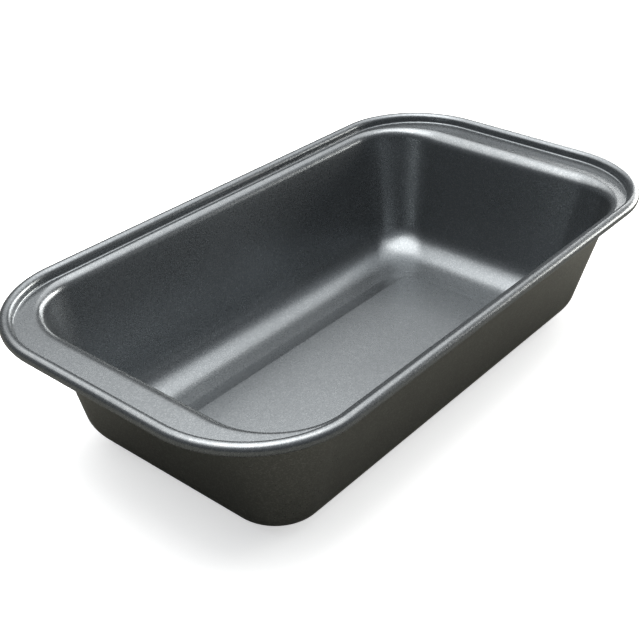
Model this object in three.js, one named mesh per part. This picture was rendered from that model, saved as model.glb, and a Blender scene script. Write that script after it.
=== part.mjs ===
// A loaf pan: one deep-drawn steel sheet with a rolled rim, the wire inside the roll and the release coating.
// Millimetres, +Z up. X runs the long way, Y the short way, and Z = 0 is the surface that the pan stands on.
// The outline at every height is a rounded rectangle, so each piece is a loft through such outlines.
import * as THREE from "three";

// ---- Overall size ----
const OVERALL_LENGTH = 280;
const OVERALL_WIDTH = 153.2;
const OVERALL_HEIGHT = 65;
const RIM_CORNER_RADIUS = 44.5;

// ---- Sheet and coating ----
const SHEET_THICKNESS = 0.6;
const COATING_THICKNESS = 0.15;
const BOND_CLEARANCE = 0.05; // between the sheet and its coating, so that the two solids don't share a face

// ---- Raised panel in the base ----
const PANEL_RISE = 1.5;
const PANEL_HALF_LENGTH = 80;
const PANEL_HALF_WIDTH = 26.4;
const PANEL_STEP_WIDTH = 7.1;
const PANEL_CORNER_RADIUS = 5;
const PANEL_BEND_RADIUS = 4; // where the step leaves the panel and where it meets the base

// ---- Walls ----
const END_DRAFT_DEGREES = 11.9; // lean of the wall from upright
const SIDE_DRAFT_DEGREES = 13.5;
const END_FLANGE_FLAT = 10.2; // the flat stretch between the lip and the foot of the upstand
const SIDE_FLANGE_FLAT = 0.15;
const BASE_FILLET_RADIUS = 16.5;
const END_LIP_RADIUS = 6.2; // the round edge between the flange and the wall
const SIDE_LIP_RADIUS = 4.2;
const BASE_CORNER_RADIUS = 16.5;
const RIM_TO_WELL_CORNER = 17.5; // the rim's corner radius less the well's, at the flange
const LIP_CORNER_GROWTH = 1.3; // growth of the corner radius for each millimetre that the end lip runs out

// ---- Rolled rim ----
const BEAD_RADIUS = 2.2; // of the rolled sheet, under its coating
const FLANGE_DEPTH = 4.2; // from the top of the bead down to the flange
const FOOT_RADIUS = 1; // where the flange turns up into the bead
const CURL_END_DEGREES = -112.5; // where the roll ends: +90 is its top and 0 its outermost point
const WIRE_CLEARANCE = 0.3;

// ---- Steps in the curves ----
const CORNER_STEPS = 10;
const FILLET_STEPS = 7;
const LIP_STEPS = 4;
const FOOT_STEPS = 2;
const ROLL_STEPS = 13;
const WIRE_STEPS = 12;

// ---- Sizes that follow ----
const coatingTop = BOND_CLEARANCE + COATING_THICKNESS;
const baseHeight = SHEET_THICKNESS;
const beadHeight = OVERALL_HEIGHT - coatingTop - BEAD_RADIUS;
const flangeHeight = OVERALL_HEIGHT - coatingTop - FLANGE_DEPTH;
const beadInset = coatingTop + BEAD_RADIUS;
const wireRadius = BEAD_RADIUS - SHEET_THICKNESS - WIRE_CLEARANCE;
const wellTopCorner = RIM_CORNER_RADIUS - RIM_TO_WELL_CORNER;

// The section's sizes one way across the pan, from the overall edge inwards and down the wall.
function wayAcross(overall, panelHalf, draftDegrees, flangeFlat, lipRadius) {
  const half = overall / 2;
  const draft = THREE.MathUtils.degToRad(draftDegrees);
  const lipReach = lipRadius * (1 / Math.cos(draft) - Math.tan(draft));
  const upstand = half - beadInset - BEAD_RADIUS;
  const wallTop = upstand - FOOT_RADIUS - flangeFlat - lipReach;
  const wallFoot = wallTop - (flangeHeight - baseHeight) * Math.tan(draft);
  return { half, panelHalf, draft, upstand, wallTop, wallFoot, lipRadius, lipReach };
}

const endWay = wayAcross(
  OVERALL_LENGTH,
  PANEL_HALF_LENGTH,
  END_DRAFT_DEGREES,
  END_FLANGE_FLAT,
  END_LIP_RADIUS,
);
const sideWay = wayAcross(
  OVERALL_WIDTH,
  PANEL_HALF_WIDTH,
  SIDE_DRAFT_DEGREES,
  SIDE_FLANGE_FLAT,
  SIDE_LIP_RADIUS,
);

// Stations along an arc of a section. "out" is the distance from the pan's centre and "up" the height.
// facing is +1 where the food side is the outside of the bend, and -1 where it is the inside.
function arcStations(centreOut, centreUp, radius, fromAngle, toAngle, steps, facing) {
  const stations = [];
  for (let step = 0; step <= steps; step++) {
    const angle = THREE.MathUtils.lerp(fromAngle, toAngle, step / steps);
    const away = new THREE.Vector2(Math.cos(angle), Math.sin(angle));
    stations.push({
      out: centreOut + radius * away.x,
      up: centreUp + radius * away.y,
      normal: away.multiplyScalar(facing),
    });
  }
  return stations;
}

// The step round the raised panel: a short bend down, a straight slope and a short bend back to level.
function panelStations(way) {
  const slope = Math.atan2(PANEL_RISE, PANEL_STEP_WIDTH);
  const bend = PANEL_BEND_RADIUS;
  const top = Math.PI / 2;
  const bendReach = bend * Math.tan(slope / 2);
  const edge = arcStations(
    way.panelHalf - bendReach,
    baseHeight + PANEL_RISE - bend,
    bend,
    top,
    top - slope,
    1,
    1,
  );
  const foot = arcStations(
    way.panelHalf + PANEL_STEP_WIDTH + bendReach,
    baseHeight + bend,
    bend,
    -top - slope,
    -top,
    1,
    -1,
  );
  return [...edge, ...foot];
}

// The wall with the fillet at its foot and the round lip at its top.
function wallStations(way) {
  const filletReach = BASE_FILLET_RADIUS * (1 / Math.cos(way.draft) - Math.tan(way.draft));
  const fillet = arcStations(
    way.wallFoot - filletReach,
    baseHeight + BASE_FILLET_RADIUS,
    BASE_FILLET_RADIUS,
    -Math.PI / 2,
    -way.draft,
    FILLET_STEPS,
    -1,
  );
  const lip = arcStations(
    way.wallTop + way.lipReach,
    flangeHeight - way.lipRadius,
    way.lipRadius,
    Math.PI - way.draft,
    Math.PI / 2,
    LIP_STEPS,
    1,
  );
  return [...fillet, ...lip];
}

// The foot of the upstand and the roll.
function rimStations(way) {
  const foot = arcStations(
    way.upstand - FOOT_RADIUS,
    flangeHeight + FOOT_RADIUS,
    FOOT_RADIUS,
    -Math.PI / 2,
    0,
    FOOT_STEPS,
    -1,
  );
  const roll = arcStations(
    way.upstand + BEAD_RADIUS,
    beadHeight,
    BEAD_RADIUS,
    Math.PI,
    THREE.MathUtils.degToRad(CURL_END_DEGREES),
    ROLL_STEPS,
    1,
  );
  return [...foot, ...roll];
}

// The food side from the panel's edge to the end of the roll, with the corner radius at each station.
function foodSide() {
  const sectionOf = (way) => [...panelStations(way), ...wallStations(way), ...rimStations(way)];
  const ends = sectionOf(endWay);
  const sides = sectionOf(sideWay);
  const firstWall = panelStations(endWay).length;
  const firstLip = firstWall + FILLET_STEPS + 1;
  const firstRim = firstLip + LIP_STEPS + 1;
  return ends.map((end, index) => {
    const side = sides[index];
    let corner;
    if (index < firstWall) {
      corner = PANEL_CORNER_RADIUS + end.out - PANEL_HALF_LENGTH;
    } else if (index < firstRim) {
      const rise = (end.up - baseHeight) / (flangeHeight - baseHeight);
      corner = THREE.MathUtils.lerp(BASE_CORNER_RADIUS, wellTopCorner, rise);
      if (index >= firstLip) corner += LIP_CORNER_GROWTH * (end.out - ends[firstLip].out);
    } else {
      corner = RIM_CORNER_RADIUS - (endWay.half - end.out);
    }
    return { end, side, corner };
  });
}

// A section moved off the food side by a distance: positive towards the food, negative into the sheet.
function offset(section, distance) {
  const move = (station) => ({
    out: station.out + distance * station.normal.x,
    up: station.up + distance * station.normal.y,
    normal: station.normal,
  });
  return section.map(({ end, side, corner }) => ({
    end: move(end),
    side: move(side),
    corner: corner + distance * end.normal.x,
  }));
}

// One rounded rectangle. Its height eases from the ends' to the sides' round each corner.
function outline({ end, side, corner }) {
  const points = [];
  for (let quarter = 0; quarter < 4; quarter++) {
    const start = (quarter * Math.PI) / 2;
    const middle = start + Math.PI / 4;
    const arc = new THREE.EllipseCurve(
      Math.sign(Math.cos(middle)) * (end.out - corner),
      Math.sign(Math.sin(middle)) * (side.out - corner),
      corner,
      corner,
      start,
      start + Math.PI / 2,
    );
    arc.getPoints(CORNER_STEPS).forEach((point, step) => {
      const towardsSide = Math.sin(start + (step / CORNER_STEPS) * (Math.PI / 2)) ** 2;
      const height = THREE.MathUtils.lerp(end.up, side.up, towardsSide);
      points.push(new THREE.Vector3(point.x, point.y, height));
    });
  }
  return points;
}

// A closed surface through outlines of the same number of points. It either runs back round to its first
// outline, or ends in a flat cap on the first and the last. Each four-cornered facet is split along its
// shorter diagonal, so two layers that lie on each other are split alike.
function loft(section, runsRound) {
  const outlines = section.map(outline);
  const around = outlines[0].length;
  const points = outlines.flat();
  const positions = points.flatMap((point) => point.toArray());
  const triangles = [];
  const bands = runsRound ? outlines.length : outlines.length - 1;
  for (let band = 0; band < bands; band++) {
    const inner = band * around;
    const outer = ((band + 1) % outlines.length) * around;
    for (let place = 0; place < around; place++) {
      const next = (place + 1) % around;
      const facet = [inner + place, outer + place, outer + next, inner + next];
      const across = (corner) => points[facet[corner]].distanceTo(points[facet[corner + 2]]);
      if (across(1) < across(0)) facet.push(facet.shift());
      triangles.push(facet[0], facet[1], facet[2], facet[0], facet[2], facet[3]);
    }
  }
  if (!runsRound) {
    const last = (outlines.length - 1) * around;
    const firstCentre = positions.length / 3;
    positions.push(0, 0, outlines[0][0].z);
    positions.push(0, 0, outlines[outlines.length - 1][0].z);
    for (let place = 0; place < around; place++) {
      const next = (place + 1) % around;
      triangles.push(firstCentre, place, next);
      triangles.push(firstCentre + 1, last + next, last + place);
    }
  }
  const geometry = new THREE.BufferGeometry();
  geometry.setAttribute("position", new THREE.Float32BufferAttribute(positions, 3));
  geometry.setIndex(triangles);
  geometry.computeVertexNormals();
  return geometry;
}

// The drawn sheet: out over the food side to the end of the roll, and back along the underside.
function panShellGeometry() {
  const food = foodSide();
  const underside = offset(food, -SHEET_THICKNESS).reverse();
  return loft([...food, ...underside], false);
}

// The release coating lies all over the food side, and is rolled up with it.
function releaseCoatingGeometry() {
  const food = foodSide();
  const bonded = offset(food, BOND_CLEARANCE).reverse();
  return loft([...offset(food, coatingTop), ...bonded], false);
}

// The wire that the rim is rolled over: a closed loop of round section in the middle of the bead.
function rimWireGeometry() {
  const section = [];
  for (let step = 0; step < WIRE_STEPS; step++) {
    const angle = (-2 * Math.PI * step) / WIRE_STEPS;
    const out = wireRadius * Math.cos(angle);
    const up = beadHeight + wireRadius * Math.sin(angle);
    section.push({
      end: { out: endWay.half - beadInset + out, up },
      side: { out: sideWay.half - beadInset + out, up },
      corner: RIM_CORNER_RADIUS - beadInset + out,
    });
  }
  return loft(section, true);
}

function piece(name, geometry, colour, roughness, metalness) {
  const material = new THREE.MeshStandardMaterial({ color: colour, roughness, metalness });
  material.name = name + "_finish";
  const mesh = new THREE.Mesh(geometry, material);
  mesh.name = name;
  return mesh;
}

const pan = new THREE.Group();
pan.name = "loaf_pan";
pan.add(piece("pan_shell", panShellGeometry(), 0x56554f, 0.45, 0.6));
pan.add(piece("release_coating", releaseCoatingGeometry(), 0x4c5358, 0.4, 0.65));
pan.add(piece("rim_wire", rimWireGeometry(), 0xa9abad, 0.35, 1));

export default pan;
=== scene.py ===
# %% [markdown]
# # A loaf pan: drawn, coated and rolled
#
# This lesson builds a loaf pan the way a press shop makes it. One blank of thin steel is coated, drawn
# down into a well, and its edge is rolled over a wire. Three pieces come out of that: the steel sheet,
# the release coating on its food side, and the wire inside the rim.
#
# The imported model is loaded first. It fixes the size and the place of every piece, so the fine pieces
# made here are worked out from its boxes.

# %% Load the frame
import math
from collections import namedtuple

import bmesh
import bpy
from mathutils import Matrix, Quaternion, Vector, noise


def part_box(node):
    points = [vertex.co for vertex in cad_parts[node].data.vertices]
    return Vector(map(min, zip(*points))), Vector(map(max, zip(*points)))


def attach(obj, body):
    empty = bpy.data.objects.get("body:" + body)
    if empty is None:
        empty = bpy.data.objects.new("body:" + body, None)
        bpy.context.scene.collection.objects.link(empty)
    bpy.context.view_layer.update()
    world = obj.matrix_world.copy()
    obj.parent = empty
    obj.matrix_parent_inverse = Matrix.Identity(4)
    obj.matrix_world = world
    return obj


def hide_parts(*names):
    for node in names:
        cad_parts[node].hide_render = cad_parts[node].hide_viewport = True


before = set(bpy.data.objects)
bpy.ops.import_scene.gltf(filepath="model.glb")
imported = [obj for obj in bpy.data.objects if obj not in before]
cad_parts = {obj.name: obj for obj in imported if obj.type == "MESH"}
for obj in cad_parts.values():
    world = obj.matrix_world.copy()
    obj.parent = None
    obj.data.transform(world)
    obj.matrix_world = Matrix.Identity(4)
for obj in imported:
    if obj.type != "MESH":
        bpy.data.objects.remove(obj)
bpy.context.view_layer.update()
print("frame nodes:", sorted(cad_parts))

MM = 0.001

# %% [markdown]
# # The camera
#
# A pan is pictured from above one corner, so that the well, two walls and the whole rim show. A long lens
# from about half a metre keeps the far end from shrinking too much. An aim point and a small roll could
# be set by an empty and a constraint, but plain numbers and one quaternion are easier to read back.

# %% Place the camera
CAMERA_PLACE = Vector((-313.9, -241.8, 270.0)) * MM
CAMERA_AIM = Vector((-10.2, 8.3, 25.8)) * MM
CAMERA_LENS = 61.25
CAMERA_ROLL = math.radians(-0.12)

camera_data = bpy.data.cameras.new("lesson_camera")
camera_data.lens = CAMERA_LENS
camera_data.sensor_width = 36
camera_data.clip_start = 10 * MM
camera = bpy.data.objects.new("lesson_camera", camera_data)
camera.location = CAMERA_PLACE
facing = (CAMERA_AIM - CAMERA_PLACE).to_track_quat("-Z", "Y")
camera.rotation_mode = "QUATERNION"
camera.rotation_quaternion = facing @ Quaternion((0, 0, 1), CAMERA_ROLL)
bpy.context.scene.collection.objects.link(camera)
bpy.context.scene.camera = camera
print("camera to aim: %.0f mm" % ((CAMERA_AIM - CAMERA_PLACE).length / MM))

# %% [markdown]
# # Sizes
#
# The overall size, the wire and the thickness of the layers come from the frame. The bends of the drawn
# section are written out here: a pan is specified by a few radii and the insets of its walls.

# %% Read the sizes off the frame
_, coat_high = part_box("release_coating")
_, sheet_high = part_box("pan_shell")
wire_low, wire_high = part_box("rim_wire")

COAT_TOP = coat_high.z - sheet_high.z  # from the steel's food side to the coating's surface
COAT_GAP = 0.05 * MM  # the bond line between the steel and the coating
SHEET = 0.6 * MM
WIRE_RADIUS = (wire_high.z - wire_low.z) / 2
WIRE_HEIGHT = (wire_high.z + wire_low.z) / 2
BEAD_INSET = coat_high.x - wire_high.x + WIRE_RADIUS
BEAD_RADIUS = BEAD_INSET - COAT_TOP
print("layers %.2f mm, bead radius %.2f mm, wire %.1f mm thick" % (
    COAT_TOP / MM, BEAD_RADIUS / MM, 2 * WIRE_RADIUS / MM))

# %% Name the bends of the section
BASE_HEIGHT = SHEET
FLANGE_HEIGHT = coat_high.z - COAT_TOP - 4.2 * MM
PANEL_RISE = 1.5 * MM
PANEL_STEP = 7.1 * MM
PANEL_BEND = 4 * MM
PANEL_CORNER = 5 * MM
BASE_FILLET = 16.5 * MM
FOOT_BEND = 1 * MM
CURL_END = math.radians(-112.5)

PANEL_HALF_LENGTH = 80 * MM
PANEL_HALF_WIDTH = 26.4 * MM
END_DRAFT_DEGREES = 11.9
SIDE_DRAFT_DEGREES = 13.5
END_FLANGE_FLAT = 10.2 * MM
SIDE_FLANGE_FLAT = 0.15 * MM
END_LIP = 6.2 * MM
SIDE_LIP = 4.2 * MM

FOOT_CORNER = 16.5 * MM
WELL_CORNER = 27 * MM
LIP_CORNER_GROWTH = 1.3
RIM_CORNER = 44.5 * MM

Way = namedtuple("Way", "half panel draft lip lip_reach upstand wall_top wall_foot")


def way_across(half, panel, draft_degrees, flange_flat, lip):
    """The section's sizes one way across the pan, from the overall edge inwards and down the wall."""
    draft = math.radians(draft_degrees)
    lip_reach = lip * (1 / math.cos(draft) - math.tan(draft))
    upstand = half - BEAD_INSET - BEAD_RADIUS
    wall_top = upstand - FOOT_BEND - flange_flat - lip_reach
    wall_foot = wall_top - (FLANGE_HEIGHT - BASE_HEIGHT) * math.tan(draft)
    return Way(half, panel, draft, lip, lip_reach, upstand, wall_top, wall_foot)


end_way = way_across(coat_high.x, PANEL_HALF_LENGTH, END_DRAFT_DEGREES, END_FLANGE_FLAT, END_LIP)
side_way = way_across(coat_high.y, PANEL_HALF_WIDTH, SIDE_DRAFT_DEGREES, SIDE_FLANGE_FLAT, SIDE_LIP)

# %% [markdown]
# # One section, walked from the panel to the roll
#
# A drawn pan has the same run of bends all the way round: panel, base ring, fillet, wall, lip, flange,
# upstand and roll. Only the radii and the draft differ between the ends and the sides. So the section is
# written once, as a walk along the food side, and is asked for twice. Each station keeps its place and the
# direction that the food side faces, which lets the steel and the coating be laid off it later.

# %% Walk the section
Station = namedtuple("Station", "out up lean lift")


def bend(out, up, radius, start, stop, steps, facing):
    """Stations along an arc. facing is 1 where the food side is outside the bend and -1 where inside."""
    stations = []
    for step in range(steps + 1):
        angle = start + (stop - start) * step / steps
        x, z = math.cos(angle), math.sin(angle)
        stations.append(Station(out + radius * x, up + radius * z, facing * x, facing * z))
    return stations


def panel_edge_and_foot(way):
    """The two small bends of the step round the raised panel."""
    slope = math.atan2(PANEL_RISE, PANEL_STEP)
    reach = PANEL_BEND * math.tan(slope / 2)
    level = math.pi / 2
    edge_up = BASE_HEIGHT + PANEL_RISE - PANEL_BEND
    edge = bend(way.panel - reach, edge_up, PANEL_BEND, level, level - slope, 6, 1)
    foot_out = way.panel + PANEL_STEP + reach
    foot = bend(foot_out, BASE_HEIGHT + PANEL_BEND, PANEL_BEND, -level - slope, -level, 6, -1)
    return edge, foot


def fillet_and_lip(way):
    """The big fillet at the foot of the wall and the round lip at its top."""
    fillet_out = way.wall_foot - BASE_FILLET * (1 / math.cos(way.draft) - math.tan(way.draft))
    fillet = bend(fillet_out, BASE_HEIGHT + BASE_FILLET, BASE_FILLET, -math.pi / 2, -way.draft, 22, -1)
    lip_out = way.wall_top + way.lip_reach
    lip = bend(lip_out, FLANGE_HEIGHT - way.lip, way.lip, math.pi - way.draft, math.pi / 2, 16, 1)
    return fillet, lip


def foot_and_roll(way):
    """The tight foot of the upstand and the roll over the wire."""
    foot = bend(way.upstand - FOOT_BEND, FLANGE_HEIGHT + FOOT_BEND, FOOT_BEND, -math.pi / 2, 0, 8, -1)
    roll = bend(way.upstand + BEAD_RADIUS, WIRE_HEIGHT, BEAD_RADIUS, math.pi, CURL_END, 39, 1)
    return foot, roll


# %% [markdown]
# # Rings
#
# A ring is the section at one station, all the way round: a rounded rectangle with its own corner radius.
# The corner radius grows from the base to the rim, because the punch has tight corners and the rim has wide
# ones. Between two bends the sheet is straight, so the rings there are just in-between values.

# %% Join the bends into rings
Ring = namedtuple("Ring", "end side corner")


def corner_at(part, station, lip_start):
    """The corner radius of the ring that goes through a station of the end section."""
    if part in ("panel edge", "panel foot"):
        return PANEL_CORNER + station.out - end_way.panel
    if part in ("upstand foot", "roll"):
        return RIM_CORNER - (end_way.half - station.out)
    rise = (station.up - BASE_HEIGHT) / (FLANGE_HEIGHT - BASE_HEIGHT)
    corner = FOOT_CORNER + (WELL_CORNER - FOOT_CORNER) * rise
    if part == "lip":
        corner += LIP_CORNER_GROWTH * (station.out - lip_start)
    return corner


def between(first, last, share):
    """The ring a share of the way from the first ring to the last."""
    def mix(a, b):
        return a + (b - a) * share
    end = Station(*map(mix, first.end, last.end))
    side = Station(*map(mix, first.side, last.side))
    return Ring(end, side, mix(first.corner, last.corner))


PARTS = ["panel edge", "panel foot", "fillet", "lip", "upstand foot", "roll"]
STRAIGHT_STEPS = {"panel foot": 4, "fillet": 4, "lip": 18, "upstand foot": 8, "roll": 2}


def food_side():
    """Every ring of the food side, from the panel's edge to the end of the roll."""
    ends = [*panel_edge_and_foot(end_way), *fillet_and_lip(end_way), *foot_and_roll(end_way)]
    sides = [*panel_edge_and_foot(side_way), *fillet_and_lip(side_way), *foot_and_roll(side_way)]
    lip_start = ends[PARTS.index("lip")][0].out
    rings = []
    for part, end_bend, side_bend in zip(PARTS, ends, sides):
        arc = [Ring(end, side, corner_at(part, end, lip_start)) for end, side in zip(end_bend, side_bend)]
        if rings:
            steps = STRAIGHT_STEPS[part]
            before = rings[-1]
            rings += [between(before, arc[0], step / steps) for step in range(1, steps)]
        rings += arc
    return rings


rings = food_side()
print(len(rings), "rings from the panel to the end of the roll")


# %% [markdown]
# # From rings to skins
#
# Each ring becomes a loop of points, with the same number of points on every ring, so that neighbours join
# with four-sided faces. A layer of the pan is two such runs of rings: out along one face and back along
# the other, laid off the food side by the layer's depth. Solidify would do this too, but laying both faces
# off one walk keeps the gap between steel and coating the same everywhere.
#
# Thin sheet never comes off the press perfectly flat. The walls get a drift of up to about a tenth of a
# millimetre, the same for every layer, which makes their sheen wander a little. The bends stay true.

# %% Turn a ring into a loop of points
CORNER_STEPS = 26
LONG_STEPS = 36
SHORT_STEPS = 14


def loop_of(ring):
    """The points of one ring, anticlockwise from the middle of the +X end."""
    end, side, corner = ring
    reach = [(end.out - corner), (side.out - corner)]
    points = []
    for quarter in range(4):
        start = quarter * math.pi / 2
        sign_x = 1 if quarter in (0, 3) else -1
        sign_y = 1 if quarter in (0, 1) else -1
        centre = (sign_x * reach[0], sign_y * reach[1])
        for step in range(CORNER_STEPS + 1):
            angle = start + math.pi / 2 * step / CORNER_STEPS
            toward_side = math.sin(angle) ** 2
            up = end.up + (side.up - end.up) * toward_side
            x = centre[0] + corner * math.cos(angle)
            y = centre[1] + corner * math.sin(angle)
            points.append(Vector((x, y, up)))
        steps = LONG_STEPS if quarter in (0, 2) else SHORT_STEPS
        last = points[-1]
        turn = start + math.pi / 2
        next_sign_x, next_sign_y = (-sign_x, sign_y) if quarter in (0, 2) else (sign_x, -sign_y)
        goal = Vector((next_sign_x * reach[0] + corner * math.cos(turn),
                       next_sign_y * reach[1] + corner * math.sin(turn), last.z))
        points += [last.lerp(goal, step / steps) for step in range(1, steps)]
    return points


def laid_off(ring, depth):
    """The ring moved off the food side by a depth: positive towards the food, negative into the steel."""
    def move(station):
        out = station.out + depth * station.lean
        return station._replace(out=out, up=station.up + depth * station.lift)
    return Ring(move(ring.end), move(ring.side), ring.corner + depth * ring.end.lean)


# %% Let the sheet drift
DRIFT = 0.12 * MM
DRIFT_SIZE = 55 * MM


def drift_at(point):
    """How far the sheet has moved at a point of the food side: most at mid-wall, none at the bends."""
    wall = max(0.0, min(1.0, (point.z - BASE_FILLET) / (12 * MM)))
    wall *= max(0.0, min(1.0, (FLANGE_HEIGHT - end_way.lip - point.z) / (12 * MM)))
    wander = noise.noise(point / DRIFT_SIZE)
    outward = Vector((point.x / end_way.half, point.y / side_way.half, 0)).normalized()
    return outward * (wander * wall * DRIFT)


drifts = [[drift_at(point) for point in loop_of(ring)] for ring in rings]
print("largest drift of the walls: %.3f mm" % (max(d.length for row in drifts for d in row) / MM))


# %% [markdown]
# # Where the pan rubs
#
# A used pan wears first where it stands on other things and where hands and racks slide along it: the crest
# of the bead, the round lip, and the ring of the base that it stands on. Each ring knows which bend it
# belongs to and which way it faces, so how much it rubs can be written on its points and read by the finish.
# Both faces of a layer get the same number, so the base ring shows a little of it inside the pan too.
# Baking a mask into an image would do the same, but a number on every point has no seams.

# %% Say how much each ring rubs
BEAD_RUB_LEAN = 0.45  # the rub is strongest where the bead leans out by this much
BEAD_RUB_SPAN = 0.55
LIP_RUB = 0.7
LIP_RUB_LIFT = 0.8
LIP_RUB_SPAN = 0.3
BASE_RUB = 0.35
BASE_RUB_HEIGHT = 0.4 * MM


def rub_of(ring):
    """How much a ring rubs: 1 on the crest of the bead, less on the lip and at the base ring."""
    lean, lift, up = ring.end.lean, ring.end.lift, ring.end.up
    if up > FLANGE_HEIGHT + FOOT_BEND:
        crest = max(0.0, 1 - ((lean - BEAD_RUB_LEAN) / BEAD_RUB_SPAN) ** 2)
        return crest * max(0.0, min(1.0, 2 * lift + 0.6))
    on_lip = ring.end.out < end_way.wall_top + end_way.lip_reach
    if on_lip and up > FLANGE_HEIGHT - end_way.lip * 0.8:
        return LIP_RUB * max(0.0, 1 - (abs(lift - LIP_RUB_LIFT) / LIP_RUB_SPAN) ** 2)
    if up < BASE_HEIGHT + BASE_RUB_HEIGHT and ring.end.out > end_way.panel:
        return BASE_RUB
    return 0.0


rubs = [rub_of(ring) for ring in rings]
print(sum(rub > 0.3 for rub in rubs), "of", len(rings), "rings rub")


# %% Sew loops into a mesh
def link(name, mesh):
    made = bpy.data.objects.new(name, mesh)
    bpy.context.scene.collection.objects.link(made)
    return made


def sew(name, loops, closed_round):
    """One closed skin through loops of points, with flat caps unless it runs back to its first loop."""
    skin = bmesh.new()
    rows = [[skin.verts.new(point) for point in loop] for loop in loops]
    if closed_round:
        rows.append(rows[0])
    for row, next_row in zip(rows, rows[1:]):
        for place in range(len(row)):
            after = (place + 1) % len(row)
            skin.faces.new((row[place], next_row[place], next_row[after], row[after]))
    if not closed_round:
        for row in (rows[0], rows[-1]):
            middle = skin.verts.new((0, 0, row[0].co.z))
            for place in range(len(row)):
                after = (place + 1) % len(row)
                skin.faces.new((row[place], row[after], middle))
    bmesh.ops.recalc_face_normals(skin, faces=skin.faces)
    for face in skin.faces:
        face.smooth = True
    mesh = bpy.data.meshes.new(name)
    skin.to_mesh(mesh)
    skin.free()
    mesh.set_sharp_from_angle(angle=math.radians(35))
    return link(name, mesh)


PANEL_SHARES = [0.12, 0.3, 0.5, 0.68, 0.82, 0.93]


def layer(name, food_depth, under_depth):
    """A layer of the pan between two depths, as one closed skin."""
    faces = []
    for depth in (food_depth, under_depth):
        loops = [loop_of(laid_off(ring, depth)) for ring in rings]
        loops = [[point + drift for point, drift in zip(*pair)] for pair in zip(loops, drifts)]
        panel = [[Vector((p.x * share, p.y * share, p.z)) for p in loops[0]] for share in PANEL_SHARES]
        faces.append(panel + loops)
    made = sew(name, faces[0] + faces[1][::-1], False)
    run = [0.0] * len(PANEL_SHARES) + rubs
    worn = [rub for rub in run + run[::-1] for _ in faces[0][0]] + [0.0, 0.0]
    made.data.attributes.new("rub", "FLOAT", "POINT").data.foreach_set("value", worn)
    missing = len(made.data.vertices) - len(worn)
    print(name, len(made.data.polygons), "faces,", missing, "points without a rub")
    return made


# %% [markdown]
# # The drawn sheet
#
# The steel is 0.6 mm thick and carries a baked coat on its outside. It runs from the panel to the end of
# the roll, where its cut edge shows as a thin line under the rim.

# %% Make the drawn sheet
drawn_sheet = layer("drawn_sheet", 0, -SHEET)

# %% [markdown]
# # The release coating
#
# The coating goes on before pressing, so it follows the food side everywhere, over the lip, across the
# flange and right round the roll. It is thin, but it is its own skin here, so it can have its own finish.

# %% Make the release coating
food_coating = layer("food_coating", COAT_TOP, COAT_GAP)

# %% [markdown]
# # The rim wire
#
# The rim is stiff because the sheet is rolled over a steel wire. The wire is a ring of round section that
# follows the middle of the bead. It could be a curve with a bevel, but the same loops serve.

# %% Make the wire
WIRE_SIDES = 20


def wire_ring(side):
    angle = -2 * math.pi * side / WIRE_SIDES
    out, up = WIRE_RADIUS * math.cos(angle), WIRE_HEIGHT + WIRE_RADIUS * math.sin(angle)
    end = Station(end_way.half - BEAD_INSET + out, up, 0, 0)
    side_station = Station(side_way.half - BEAD_INSET + out, up, 0, 0)
    return Ring(end, side_station, RIM_CORNER - BEAD_INSET + out)


bead_wire = sew("bead_wire", [loop_of(wire_ring(side)) for side in range(WIRE_SIDES)], True)
print("bead_wire", len(bead_wire.data.polygons), "faces")

# %% [markdown]
# # Effects that the finishes share
#
# The coats are both sprayed and baked, and both hold fine metal flake. So flake and grain are one node
# group, and the slow change of a hand-fed spray line is another. Each finish gives them its own values.

# %% Helpers for node trees
def group_with(name, inputs, outputs):
    """A new node group, with its input and output nodes."""
    tree = bpy.data.node_groups.new(name, "ShaderNodeTree")
    for label, value in inputs:
        socket = tree.interface.new_socket(label, in_out="INPUT", socket_type="NodeSocketFloat")
        socket.default_value = value
    for label in outputs:
        tree.interface.new_socket(label, in_out="OUTPUT", socket_type="NodeSocketFloat")
    return tree, tree.nodes.new("NodeGroupInput"), tree.nodes.new("NodeGroupOutput")


def add(tree, kind, **settings):
    """A node with some of its settings changed."""
    node = tree.nodes.new(kind)
    for key, value in settings.items():
        setattr(node, key, value)
    return node


def calculate(tree, operation, first, second):
    """A math node on two values, each a socket or a number."""
    node = add(tree, "ShaderNodeMath", operation=operation)
    for socket, value in zip(node.inputs, (first, second)):
        if isinstance(value, (int, float)):
            socket.default_value = value
        else:
            tree.links.new(value, socket)
    return node.outputs[0]


def stretch(tree, value, low, high, new_low, new_high):
    """Spreads a value from one span to another, and keeps it there."""
    node = add(tree, "ShaderNodeMapRange", clamp=True)
    for socket, number in zip(node.inputs[1:5], (low, high, new_low, new_high)):
        if isinstance(number, (int, float)):
            socket.default_value = number
        else:
            tree.links.new(number, socket)
    tree.links.new(value, node.inputs[0])
    return node.outputs[0]


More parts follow.
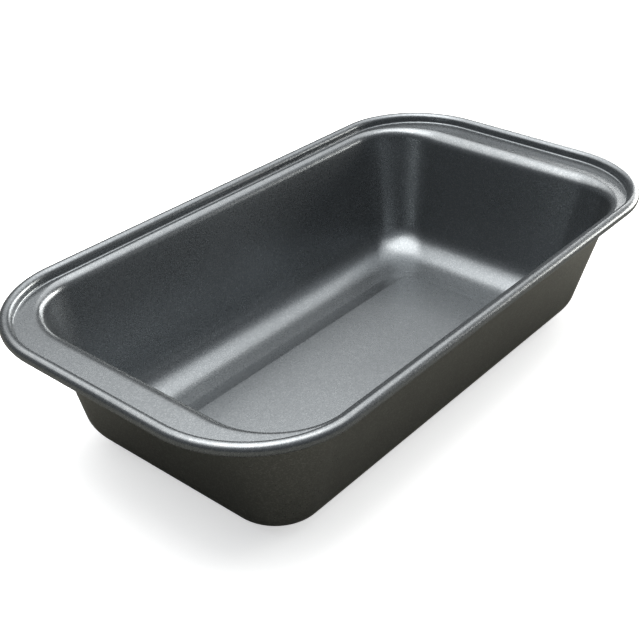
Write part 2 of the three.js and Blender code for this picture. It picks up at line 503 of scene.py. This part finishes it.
# %% Flake and grain
def make_flake_group():
    """Metal flakes in a sprayed coat: a bright mask for the flakes and a height for the fine grain."""
    inputs = [("Flakes per metre", 2200.0), ("Share", 0.3)]
    tree, given, result = group_with("Flake and grain", inputs, ["Flake", "Speckle", "Grain"])
    place = add(tree, "ShaderNodeTexCoord")
    cells = add(tree, "ShaderNodeTexVoronoi", feature="F1")
    tree.links.new(place.outputs["Object"], cells.inputs["Vector"])
    tree.links.new(given.outputs["Flakes per metre"], cells.inputs["Scale"])
    each = add(tree, "ShaderNodeSeparateColor")
    tree.links.new(cells.outputs["Color"], each.inputs[0])
    cut = calculate(tree, "SUBTRACT", 1.0, given.outputs["Share"])
    flake = stretch(tree, each.outputs[0], cut, 1.0, 0.0, 1.0)
    tree.links.new(flake, result.inputs["Flake"])
    fine = add(tree, "ShaderNodeTexNoise")
    fine.inputs["Detail"].default_value = 3.0
    fine.inputs["Roughness"].default_value = 0.6
    tree.links.new(place.outputs["Object"], fine.inputs["Vector"])
    finer = calculate(tree, "MULTIPLY", given.outputs["Flakes per metre"], 0.6)
    tree.links.new(finer, fine.inputs["Scale"])
    tree.links.new(stretch(tree, fine.outputs[0], 0.3, 0.7, 0.0, 1.0), result.inputs["Speckle"])
    grain = calculate(tree, "ADD", fine.outputs[0], calculate(tree, "MULTIPLY", each.outputs[1], 0.5))
    tree.links.new(grain, result.inputs["Grain"])
    return tree


# %% Slow change over the sheet
def make_spray_group():
    """The slow change of a sprayed and baked coat over a few centimetres."""
    tree, given, result = group_with("Spray drift", [("Patches per metre", 28.0)], ["Patch"])
    place = add(tree, "ShaderNodeTexCoord")
    slow = add(tree, "ShaderNodeTexNoise")
    slow.inputs["Detail"].default_value = 4.0
    slow.inputs["Roughness"].default_value = 0.55
    tree.links.new(place.outputs["Object"], slow.inputs["Vector"])
    tree.links.new(given.outputs["Patches per metre"], slow.inputs["Scale"])
    tree.links.new(stretch(tree, slow.outputs[0], 0.32, 0.68, 0.0, 1.0), result.inputs["Patch"])
    return tree


# %% Rubbed edges
def make_rub_group():
    """Broken wear along the edges: the rub written on the points, broken up by a fine noise."""
    inputs = [("Breaks per metre", 420.0), ("Amount", 0.5)]
    tree, given, result = group_with("Rubbed edges", inputs, ["Worn"])
    place = add(tree, "ShaderNodeTexCoord")
    rub = add(tree, "ShaderNodeAttribute", attribute_name="rub")
    broken = add(tree, "ShaderNodeTexNoise")
    broken.inputs["Detail"].default_value = 5.0
    broken.inputs["Roughness"].default_value = 0.65
    tree.links.new(place.outputs["Object"], broken.inputs["Vector"])
    tree.links.new(given.outputs["Breaks per metre"], broken.inputs["Scale"])
    spots = stretch(tree, broken.outputs[0], 0.45, 0.75, 0.25, 1.0)
    worn = calculate(tree, "MULTIPLY", rub.outputs["Fac"], spots)
    tree.links.new(calculate(tree, "MULTIPLY", worn, given.outputs["Amount"]), result.inputs["Worn"])
    return tree


flake_group = make_flake_group()
spray_group = make_spray_group()
rub_group = make_rub_group()


# %% [markdown]
# # The finishes
#
# A release coating reads as dark metal: a blue-grey binder full of flake, satin rather than glossy. The
# outside coat is warmer and a little coarser. Both are a Principled shader whose colour, roughness and
# bump come from the shared groups. A flat colour would lose the sparkle that tells the eye it is coated.

# %% Build a baked coat
def place_group(tree, group, **values):
    node = add(tree, "ShaderNodeGroup", node_tree=group)
    for key, value in values.items():
        node.inputs[key.replace("_", " ")].default_value = value
    return node


def blend_colours(tree, mask, first, second):
    """A colour that goes from the first to the second as the mask rises."""
    node = add(tree, "ShaderNodeMix", data_type="RGBA")
    tree.links.new(mask, node.inputs["Factor"])
    for socket, colour in ((node.inputs[6], first), (node.inputs[7], second)):
        if isinstance(colour, tuple):
            socket.default_value = (*colour, 1)
        else:
            tree.links.new(colour, socket)
    return node.outputs[2]


def baked_coat(name, binder, flake_colour, rubbed, metal, rough, flakes, grain_height, patch_change):
    """A satin coat with metal flake. rough is its roughness in the shiny and in the dull patches."""
    material = bpy.data.materials.new(name)
    material.use_nodes = True
    tree = material.node_tree
    shader = tree.nodes["Principled BSDF"]
    shader.inputs["Metallic"].default_value = metal
    flake = place_group(tree, flake_group, Flakes_per_metre=flakes, Share=0.45)
    spray = place_group(tree, spray_group)
    deeper = tuple(channel * patch_change for channel in binder)
    ground = blend_colours(tree, spray.outputs["Patch"], binder, deeper)
    speckled = blend_colours(tree, flake.outputs["Flake"], ground, flake_colour)
    worn = place_group(tree, rub_group).outputs["Worn"]
    tree.links.new(blend_colours(tree, worn, speckled, rubbed), shader.inputs["Base Color"])
    roughness = stretch(tree, spray.outputs["Patch"], 0, 1, rough[0], rough[1])
    glint = calculate(tree, "MULTIPLY", flake.outputs["Speckle"], 0.08)
    polish = calculate(tree, "ADD", glint, calculate(tree, "MULTIPLY", worn, 0.1))
    tree.links.new(calculate(tree, "SUBTRACT", roughness, polish), shader.inputs["Roughness"])
    bump = add(tree, "ShaderNodeBump")
    bump.inputs["Strength"].default_value = 1.0
    bump.inputs["Distance"].default_value = grain_height
    tree.links.new(flake.outputs["Grain"], bump.inputs["Height"])
    tree.links.new(bump.outputs[0], shader.inputs["Normal"])
    return material


# %% The three finishes
release_finish = baked_coat(
    "release_coat_finish",
    binder=(0.197, 0.211, 0.222),
    flake_colour=(0.262, 0.277, 0.289),
    rubbed=(0.33, 0.335, 0.335),
    metal=0.9,
    rough=(0.31, 0.35),
    flakes=2700,
    grain_height=0.004 * MM,
    patch_change=0.9,
)
outer_finish = baked_coat(
    "outer_coat_finish",
    binder=(0.2, 0.202, 0.19),
    flake_colour=(0.285, 0.288, 0.272),
    rubbed=(0.34, 0.335, 0.32),
    metal=0.85,
    rough=(0.34, 0.40),
    flakes=2300,
    grain_height=0.005 * MM,
    patch_change=0.88,
)
wire_finish = baked_coat(
    "drawn_wire_finish",
    binder=(0.5, 0.5, 0.49),
    flake_colour=(0.62, 0.62, 0.6),
    rubbed=(0.66, 0.65, 0.63),
    metal=1.0,
    rough=(0.28, 0.36),
    flakes=3000,
    grain_height=0.005 * MM,
    patch_change=0.85,
)

# %% Hand the pieces over to the frame
for made, node, slot_name, finish in (
    (drawn_sheet, "pan_shell", "outer_coat", outer_finish),
    (food_coating, "release_coating", "release_coat", release_finish),
    (bead_wire, "rim_wire", "wire_steel", wire_finish),
):
    made.data.materials.append(finish)
    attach(made, "root")
    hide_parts(node)
    print(made.name, "stands for", node, "in", slot_name)

# %% [markdown]
# # The studio
#
# Dark satin metal shows its lights more than its own colour. A softbox overhead makes the bright stretch
# along the base fillet, a wider one softens it, and one beyond the pan lights the near flange. Two low ones
# on the right reach the outer walls. The floor is pale where it is seen, but the pan sees a painted shade on
# it: a darker, warmer colour that stands in for the pan's shadow on the table.

# %% Lay the floor
def floor_material():
    material = bpy.data.materials.new("floor_paper")
    material.use_nodes = True
    tree = material.node_tree
    tree.nodes.clear()
    output = add(tree, "ShaderNodeOutputMaterial")
    path = add(tree, "ShaderNodeLightPath")
    seen = add(tree, "ShaderNodeBsdfDiffuse")
    seen.inputs["Color"].default_value = (0.9, 0.9, 0.9, 1)
    glow = add(tree, "ShaderNodeEmission")
    glow.inputs["Color"].default_value = (1, 1, 1, 1)
    glow.inputs["Strength"].default_value = 0.55
    both = add(tree, "ShaderNodeAddShader")
    tree.links.new(seen.outputs[0], both.inputs[0])
    tree.links.new(glow.outputs[0], both.inputs[1])
    # Painted shade: what the pan sees of the floor is a darker, warmer colour standing in for its shadow.
    painted_floor_shade = add(tree, "ShaderNodeBsdfDiffuse")
    painted_floor_shade.inputs["Color"].default_value = (0.2, 0.195, 0.175, 1)
    choose = add(tree, "ShaderNodeMixShader")
    tree.links.new(path.outputs["Is Camera Ray"], choose.inputs[0])
    tree.links.new(painted_floor_shade.outputs[0], choose.inputs[1])
    tree.links.new(both.outputs[0], choose.inputs[2])
    tree.links.new(choose.outputs[0], output.inputs["Surface"])
    return material


def lay_floor():
    sheet = bmesh.new()
    bmesh.ops.create_grid(sheet, x_segments=4, y_segments=4, size=4)
    mesh = bpy.data.meshes.new("studio_floor")
    sheet.to_mesh(mesh)
    sheet.free()
    floor = link("studio_floor", mesh)
    floor.location.z = -0.1 * MM
    floor.data.materials.append(floor_material())
    return floor


lay_floor()


# %% Hang the lights
def softbox(name, place, aim, size, power, colour):
    """A square area light of a size in metres, pointed at a place."""
    data = bpy.data.lights.new(name, "AREA")
    data.shape = "RECTANGLE"
    data.size, data.size_y = size
    data.energy = power
    data.color = colour
    light = bpy.data.objects.new(name, data)
    light.location = place
    light.rotation_mode = "QUATERNION"
    light.rotation_quaternion = (Vector(aim) - Vector(place)).to_track_quat("-Z", "Y")
    bpy.context.scene.collection.objects.link(light)
    return light


NEUTRAL = (1.0, 0.985, 0.96)
WARM = (1.0, 0.97, 0.9)
softbox("softbox_overhead", (0.0, 0.05, 1.1), (0, 0, 0.03), (1.0, 0.8), 7.8, NEUTRAL)
softbox("softbox_ceiling", (0.1, 0.2, 1.0), (0, 0, 0.03), (2.0, 1.6), 15.5, NEUTRAL)
softbox("softbox_far", (0.42, 0.75, 0.9), (-0.1, 0, 0.05), (1.0, 0.7), 1.4, NEUTRAL)
softbox("softbox_right_low", (1.2, 0.1, 0.3), (0, 0, 0.03), (0.8, 0.4), 6.5, NEUTRAL)
softbox("softbox_right_graze", (1.3, -0.5, 0.25), (0, 0, 0.03), (0.6, 0.4), 10, WARM)


# %% Light the room
def set_world():
    """A dim room that gets lighter towards the ceiling."""
    world = bpy.data.worlds.new("studio_room")
    bpy.context.scene.world = world
    world.use_nodes = True
    tree = world.node_tree
    background = tree.nodes["Background"]
    background.inputs["Strength"].default_value = 0.6
    place = add(tree, "ShaderNodeTexCoord")
    split = add(tree, "ShaderNodeSeparateXYZ")
    tree.links.new(place.outputs["Generated"], split.inputs[0])
    ramp = add(tree, "ShaderNodeValToRGB")
    ramp.color_ramp.elements[0].position = 0.4
    ramp.color_ramp.elements[0].color = (0.2, 0.215, 0.23, 1)
    ramp.color_ramp.elements[1].position = 0.9
    ramp.color_ramp.elements[1].color = (0.9, 0.95, 1, 1)
    tree.links.new(split.outputs["Z"], ramp.inputs[0])
    tree.links.new(ramp.outputs[0], background.inputs["Color"])


set_world()
bpy.context.scene.view_settings.view_transform = "Standard"
